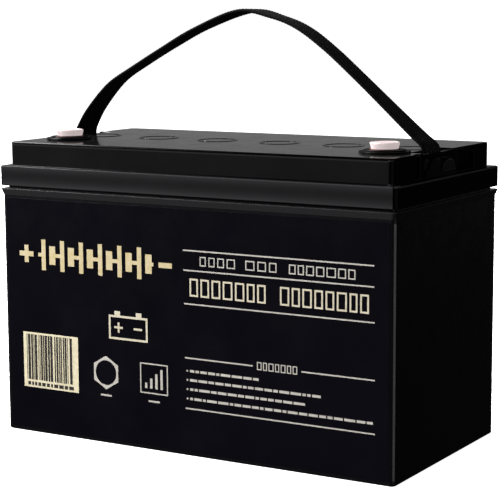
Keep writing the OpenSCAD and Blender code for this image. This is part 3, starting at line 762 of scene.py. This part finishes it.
# ---------------------------------------------------------------- strap
# Centreline from the left shoe to the right one, as (x, z)
POINTS = [(-154.3, 202), (-154.3, 212), (-154.35, 216), (-154.75, 220.5), (-154, 225), (-150.9, 231),
          (-144, 241), (-131, 255), (-119, 265), (-101, 275), (-72, 290), (-40, 305), (0, 317.5), (28, 313),
          (50, 305), (73, 290), (98, 270), (122, 250), (143.5, 232), (152.2, 225.2), (154.65, 220.5),
          (154.35, 216), (154.3, 212), (154.3, 202)]
DRAWN_X = 154.3  # where its ends are drawn; they are moved out to the turned shoes
PER_SPAN, SLOPE_REACH = 40, 6
# Width and thickness of the band, how far its ribs stand out, their number, the mesh columns in one of them,
# the mesh rows and the length after which the weave repeats
WEB_W, WEB_T, RELIEF = 26.0, 2.2, 0.32
RIBS, PER_RIB, ROW = 9, 6, 0.64
REPEAT = 4 * ROW
EDGE_T, EDGE_LOOP = (0.7, 0.92, 1.0), 0.15
# The outer face of the band turns by up to this many degrees: to the front on its left limb, to the back on
# its right one
TWIST = 8.0


def spline(t, points):
    i = min(int(t), len(points) - 2)
    u = t - i
    a, b, c, d = (points[min(max(k, 0), len(points) - 1)] for k in (i - 1, i, i + 1, i + 2))
    square, cube = 2 * a - 5 * b + 4 * c - d, 3 * b - a - 3 * c + d
    return 0.5 * (2 * b + (c - a) * u + square * u * u + cube * u ** 3)


drawn = [Vector(p) for p in POINTS]
fine = [spline(k / PER_SPAN, drawn) for k in range((len(drawn) - 1) * PER_SPAN + 1)]
fine = [Vector((p[0] * SHOE_X / DRAWN_X, p[1])) for p in fine]
run = [0.0]
for a, b in zip(fine, fine[1:]):
    run.append(run[-1] + (b - a).length)
rows_n = int(run[-1] / ROW)
line, k = [], 0
for n in range(rows_n + 1):
    s = run[-1] * n / rows_n
    while k < len(run) - 2 and run[k + 1] < s:
        k += 1
    p = fine[k].lerp(fine[k + 1], (s - run[k]) / max(run[k + 1] - run[k], 1e-9))
    line.append((s, p, math.radians(TWIST * math.sin(2 * math.pi * s / run[-1]))))
slope = []
for n in range(rows_n + 1):
    v = line[min(n + SLOPE_REACH, rows_n)][1] - line[max(n - SLOPE_REACH, 0)][1]
    slope.append(v.normalized())
columns = RIBS * PER_RIB
bm = bmesh.new()
weave_layer = bm.verts.layers.float_vector.new("weave")


def yarn_height(u, s):
    """Height of the woven face at u across and s along, from 0 to 1: ribs of yarn that go over and under."""
    rib = (u / WEB_W + 0.5) * RIBS
    inside = rib - math.floor(rib)
    crown = math.sin(math.pi * min(max(inside, 0.0), 1.0)) ** 0.7
    over = 0.5 + 0.5 * math.cos(2 * math.pi * (s / REPEAT + 0.5 * (math.floor(rib) % 2)))
    return crown * (0.25 + 0.75 * over)


sections = []
for n, (s, p, lean) in enumerate(line):
    normal = Vector((-slope[n][1], 0, slope[n][0]))
    side = Vector((0, math.cos(lean), 0)) + normal * math.sin(lean)
    normal = normal * math.cos(lean) - Vector((0, math.sin(lean), 0))
    loop = abs(EDGE_LOOP * math.cos(2 * math.pi * s / REPEAT))
    ring = []
    for face in (1, -1):
        for c in range(columns + 1):
            u = (c / columns - 0.5) * WEB_W * face
            edge = min(c, columns - c)
            rise = yarn_height(u, s) if edge > 0 else 0.0
            h = WEB_T / 2 * EDGE_T[min(edge, 2)] + RELIEF * rise
            out = u + (loop if edge <= 1 else 0.0)
            v = bm.verts.new(Vector((p[0], 0, p[1])) + side * out + normal * h * face)
            v[weave_layer] = (u, s + face * 500.0, rise)
            ring.append(v)
    sections.append(ring)
skin(bm, sections)
strap = new_object("strap_webbing", bm)
strap.data.transform(Matrix.Rotation(-TURN, 4, "Z"))
strap.data.shade_smooth()
finish_piece(strap, "handle", web_m, ["strap"])

# ---------------------------------------------------------------- label and its print
LABEL_X, LABEL_Z0, LABEL_Z1, LABEL_R = HALF_L - CORNER_R, 3.0, 179.2, 2.0
FRONT = -HALF_W - LABEL_T
INK_T = 0.05


def corner_loop(x0, x1, z0, z1, r, seg=5):
    pts = []
    corners = ((x1 - r, z1 - r, 0), (x0 + r, z1 - r, 90), (x0 + r, z0 + r, 180), (x1 - r, z0 + r, 270))
    for cx, cz, a0 in corners:
        for k in range(seg + 1):
            a = math.radians(a0 + 90 * k / seg)
            pts.append((cx + r * math.cos(a), cz + r * math.sin(a)))
    return pts


bm = bmesh.new()
rims = []
for y, e in ((-HALF_W, 0.0), (FRONT + 0.08, 0.0), (FRONT, 0.08)):
    rims.append([bm.verts.new((x, y, z)) for x, z in
                 corner_loop(-LABEL_X + e, LABEL_X - e, LABEL_Z0 + e, LABEL_Z1 - e, LABEL_R)])
skin(bm, rims)
label = smooth(new_object("front_label_film", bm), 50)
finish_piece(label, "battery", label_m, ["front_label"])


class Print:
    """Flat closed shapes of ink on the label, all of one colour."""

    def __init__(self, name, material, level=0):
        self.name, self.material, self.bm = name, material, bmesh.new()
        self.back, self.front = FRONT + 0.02 - level * INK_T, FRONT - INK_T * (level + 1)

    def solid(self, outer, inner=None):
        loops = []
        for y in (self.back, self.front):
            loops.append([self.bm.verts.new((x, y, z)) for x, z in outer])
        n = len(outer)
        for k in range(n):
            j = (k + 1) % n
            self.bm.faces.new((loops[0][k], loops[0][j], loops[1][j], loops[1][k]))
        if inner is None:
            self.bm.faces.new(loops[0])
            self.bm.faces.new(loops[1])
            return
        holes = [[self.bm.verts.new((x, y, z)) for x, z in inner] for y in (self.back, self.front)]
        for k in range(n):
            j = (k + 1) % n
            self.bm.faces.new((holes[0][k], holes[0][j], holes[1][j], holes[1][k]))
            for side in (0, 1):
                self.bm.faces.new((loops[side][k], loops[side][j], holes[side][j], holes[side][k]))

    def bar(self, x0, x1, z0, z1):
        self.solid([(x0, z0), (x1, z0), (x1, z1), (x0, z1)])

    def frame(self, x0, x1, z0, z1, t):
        self.solid([(x0, z0), (x1, z0), (x1, z1), (x0, z1)],
                   [(x0 + t, z0 + t), (x1 - t, z0 + t), (x1 - t, z1 - t), (x0 + t, z1 - t)])

    def ring(self, x, z, r0, r1, sides=48, hole_sides=None):
        def circle(r, corners):
            pts = []
            for k in range(sides):
                a = 2 * math.pi * k / sides + math.pi / 6
                if corners:
                    step_a = 2 * math.pi / corners
                    local = (a - math.pi / 6) % step_a - step_a / 2
                    rr = r * math.cos(step_a / 2) / math.cos(local)
                else:
                    rr = r
                pts.append((x + rr * math.cos(a), z + rr * math.sin(a)))
            return pts
        self.solid(circle(r0, hole_sides), circle(r1, None))

    def done(self):
        obj = new_object(self.name, self.bm)
        finish_piece(obj, "battery", self.material)


chance = random.Random(20261116)


def boxes(ink_set, x0, x1, z0, z1, count, stroke, gap):
    """A word's place held by open boxes of uneven width."""
    widths = [chance.uniform(0.8, 1.2) for _ in range(count)]
    room = (x1 - x0 - gap * (count - 1)) / sum(widths)
    x = x0
    for w in widths:
        ink_set.frame(x, x + w * room, z0, z1, stroke)
        x += w * room + gap


def dashes(ink_set, x0, x1, z0, z1, count):
    """A line of small print held by short solid dashes."""
    widths = [chance.uniform(0.7, 2.6) for _ in range(count)]
    gap = 1.1
    room = (x1 - x0 - gap * (count - 1)) / sum(widths)
    x = x0
    for w in widths:
        ink_set.bar(x, x + w * room, z0, z1)
        x += w * room + gap


# Large gold device on the left: six cells in series between the two pole signs
gold = Print("print_cell_diagram", gold_m)
HEAD_LOW, HEAD_HIGH = 126.0, 149.2
head_mid = (HEAD_LOW + HEAD_HIGH) / 2
ARM, THICK = 6.6, 1.9
for x0, x1 in ((-149.3, -136.1), (-23.0, -11.6)):
    gold.bar(x0, x1, head_mid - THICK, head_mid + THICK)
for z0, z1 in ((head_mid - ARM, head_mid - THICK), (head_mid + THICK, head_mid + ARM)):
    gold.bar(-142.7 - THICK, -142.7 + THICK, z0, z1)
first, last, wire = -131.5, -27.5, 1.4
cell_step = (last - first) / 6
for i in range(6):
    c = first + cell_step * (i + 0.5)
    gold.bar(c - 5.6, c - 1.8, HEAD_LOW, HEAD_HIGH)
    gold.bar(c + 1.6, c + 7.2, head_mid - 7.0, head_mid + 7.0)
for i in range(7):
    a = first + cell_step * (i - 0.5) + 7.2 if i else first
    b = first + cell_step * (i + 0.5) - 5.6 if i < 6 else last
    gold.bar(a, b, head_mid - wire, head_mid + wire)
gold.done()

rules = Print("print_rules", white_m)
for x0, x1, z in ((-1.9, 149.5, 149.9), (-1.9, 149.5, 135.6), (-1.3, 150.0, 111.4), (-1.2, 55.1, 72.1),
                  (94.1, 150.5, 72.1), (-1.1, 150.7, 35.1)):
    rules.bar(x0, x1, z - 0.5, z + 0.5)
rules.done()

thin = Print("print_thin_boxes", white_m)
boxes(thin, 12.0, 41.2, 139.3, 146.1, 4, 0.85, 2.2)
boxes(thin, 49.6, 74.6, 139.3, 146.1, 3, 0.85, 2.4)
boxes(thin, 84.4, 135.5, 139.3, 146.1, 7, 0.85, 1.7)
thin.done()

bold = Print("print_bold_boxes", pale_m)
boxes(bold, 3.3, 65.9, 117.0, 130.0, 7, 1.3, 2.1)
boxes(bold, 77.3, 145.7, 117.0, 130.0, 8, 1.3, 2.0)
bold.done()

small = Print("print_small_dashes", white_m)
boxes(small, 58.6, 90.8, 69.6, 75.3, 7, 0.7, 1.2)
for z, end, count in ((62.7, 59.9, 9), (56.1, 109.2, 16), (49.3, 96.9, 14), (42.4, 149.1, 22)):
    small.ring(0.6, z, 0.75, 0.2, 16)
    dashes(small, 2.9, end, z - 0.9, z + 0.9, count)
small.done()

# Battery outline with its two poles, in place of the certification mark
mark = Print("print_battery_outline", pale_m)
mark.frame(-67.7, -33.3, 79.6, 97.6, 1.6)
mark.bar(-62.5, -57.5, 97.6, 100.8)
mark.bar(-43.5, -38.5, 97.6, 100.8)
mark.bar(-62.8, -55.2, 87.8, 89.4)
mark.bar(-59.8, -58.2, 84.8, 87.8)
mark.bar(-59.8, -58.2, 89.4, 92.4)
mark.bar(-45.6, -38.2, 87.8, 89.4)
mark.done()

# Nut and charge-level pictograms
icons = Print("print_pictograms", white_m)
icons.ring(-71.0, 53.6, 12.6, 9.3, 48, 6)
icons.frame(-40.4, -16.2, 42.1, 64.7, 0.9)
for k in range(4):
    icons.bar(-36.2 + k * 4.5, -34.2 + k * 4.5, 46.0, 50.0 + k * 3.6)
icons.bar(-76.0, -66.2, 35.9, 37.2)
icons.bar(-33.2, -23.4, 35.9, 37.2)
icons.done()

# Plain striped panel
panel = Print("print_stripe_panel", cream_m)
panel.bar(-147.6, -96.3, 35.1, 77.5)
panel.done()
stripes = Print("print_stripes", dark_m, 1)
x = -144.6
while x < -100.4:
    w = chance.choice((0.55, 0.55, 1.1, 1.1, 1.65, 2.2))
    if x + w > -99.8:
        break
    stripes.bar(x, x + w, 41.0, 76.0)
    x += w + chance.choice((0.55, 0.55, 0.75, 1.1, 1.65))
dashes(stripes, -144.0, -101.0, 36.6, 39.3, 11)
stripes.done()

# ---------------------------------------------------------------- CAD nodes that stay in sight or inside
INTERNAL = {
    "post": lead_m, "valve_cap": valve_m, "positive_plates": positive_m, "negative_plates": negative_m,
    "separators": separator_m, "positive_busbars": lead_m, "negative_busbars": lead_m, "cell_links": lead_m}
for node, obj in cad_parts.items():
    for start, material in INTERNAL.items():
        if node.startswith(start):
            obj.data.materials.clear()
            obj.data.materials.append(material.material)

# ---------------------------------------------------------------- stage
bm = bmesh.new()
FLOOR_SEG, FLOOR_Z = 96, -0.0001
rows = [circle_row(bm, 0, 0, r, FLOOR_Z, FLOOR_SEG) for r in (0.0, 0.5, 2.0, 8.0, 30.0, 90.0)]
for a, b in zip(rows, rows[1:]):
    for k in range(FLOOR_SEG):
        j = (k + 1) % FLOOR_SEG
        if len(a) == 1:
            bm.faces.new((a[0], b[k], b[j]))
        else:
            bm.faces.new((a[k], b[k], b[j], a[j]))
floor = new_object("floor", bm)
floor_m = Material("floor_paper")
floor_m.link(floor_m.mix(floor_m.noise(3.0, 3.0), (0.93, 0.93, 0.93, 1), (0.95, 0.95, 0.95, 1)),
             floor_m.bsdf.inputs["Base Color"])
floor_m.set(Roughness=0.9, Specular_IOR_Level=0.0, Emission_Color=(1, 1, 1, 1), Emission_Strength=1.0)
floor.data.materials.append(floor_m.material)
floor.visible_glossy = False
floor.visible_diffuse = False
floor.visible_shadow = False

world = bpy.data.worlds.new("studio")
bpy.context.scene.world = world
world.use_nodes = True
tree = world.node_tree
background = next(n for n in tree.nodes if n.type == "BACKGROUND")
direction = tree.nodes.new("ShaderNodeTexCoord")
parts = tree.nodes.new("ShaderNodeSeparateXYZ")
tree.links.new(direction.outputs["Generated"], parts.inputs[0])
ramp = tree.nodes.new("ShaderNodeMapRange")
ramp.inputs["From Min"].default_value, ramp.inputs["From Max"].default_value = -1.0, 1.0
tree.links.new(parts.outputs["Z"], ramp.inputs["Value"])
curve = tree.nodes.new("ShaderNodeValToRGB")
tree.links.new(ramp.outputs["Result"], curve.inputs["Fac"])


def at(elevation):
    return 0.5 + 0.5 * math.sin(math.radians(elevation))


stops = [(0.0, 0.008), (at(-0.8), 0.02), (at(-0.4), 1.05), (at(0.6), 1.05), (at(1.3), 0.30), (at(3.9), 0.29),
         (at(4.5), 0.205), (at(6), 0.19), (at(12), 0.12), (at(20), 0.04), (at(60), 0.03)]
curve.color_ramp.elements[0].position, curve.color_ramp.elements[0].color = stops[0][0], grey(stops[0][1])
curve.color_ramp.elements[1].position, curve.color_ramp.elements[1].color = stops[-1][0], grey(stops[-1][1])
for where, value in stops[1:-1]:
    stop = curve.color_ramp.elements.new(where)
    stop.color = grey(value)
tree.links.new(curve.outputs["Color"], background.inputs["Color"])
background.inputs["Strength"].default_value = 1.0


def softbox(name, place, aim, size_x, size_y, power, colour=(1, 1, 1)):
    data = bpy.data.lights.new(name, "AREA")
    data.shape, data.size, data.size_y, data.energy, data.color = "RECTANGLE", size_x, size_y, power, colour
    obj = bpy.data.objects.new(name, data)
    bpy.context.scene.collection.objects.link(obj)
    obj.location = place
    obj.rotation_mode = "QUATERNION"
    obj.rotation_quaternion = (Vector(aim) - Vector(place)).to_track_quat("-Z", "Y")
    return obj


softbox("key_left", (-1.8, -0.2, 2.0), (0, 0, 0.25), 0.8, 0.6, 175)
softbox("key_front", (-1.9, -1.6, 1.15), (0, 0, 0.15), 1.2, 0.9, 120)
softbox("right_panel", (2.0, -0.75, -0.25), (0.16, -0.08, 0.05), 1.8, 0.8, 6)
softbox("back_fill", (-2.5, 0.9, 0.8), (0, 0, 0.15), 1.0, 0.6, 14)

# ---------------------------------------------------------------- camera
CAMERA_PLACE, LENS, SENSOR = (0.6384, -1.0646, 0.3189), 119.8, 36.0
YAW, PITCH_DOWN, ROLL = math.radians(30.861), math.radians(8.238), math.radians(-0.308)
camera_data = bpy.data.cameras.new("camera")
camera_data.lens, camera_data.sensor_width = LENS, SENSOR
camera_data.clip_start, camera_data.clip_end = 0.05, 300.0
camera = bpy.data.objects.new("camera", camera_data)
bpy.context.scene.collection.objects.link(camera)
ahead = Vector((-math.sin(YAW) * math.cos(PITCH_DOWN), math.cos(YAW) * math.cos(PITCH_DOWN),
                -math.sin(PITCH_DOWN)))
right = Vector((math.cos(YAW), math.sin(YAW), 0))
up = right.cross(ahead)
tilted_right = right * math.cos(ROLL) + up * math.sin(ROLL)
tilted_up = up * math.cos(ROLL) - right * math.sin(ROLL)
turn = Matrix((tilted_right, tilted_up, -ahead)).transposed().to_4x4()
camera.matrix_world = Matrix.Translation(CAMERA_PLACE) @ turn
bpy.context.scene.camera = camera
bpy.context.scene.view_settings.view_transform = "Standard"
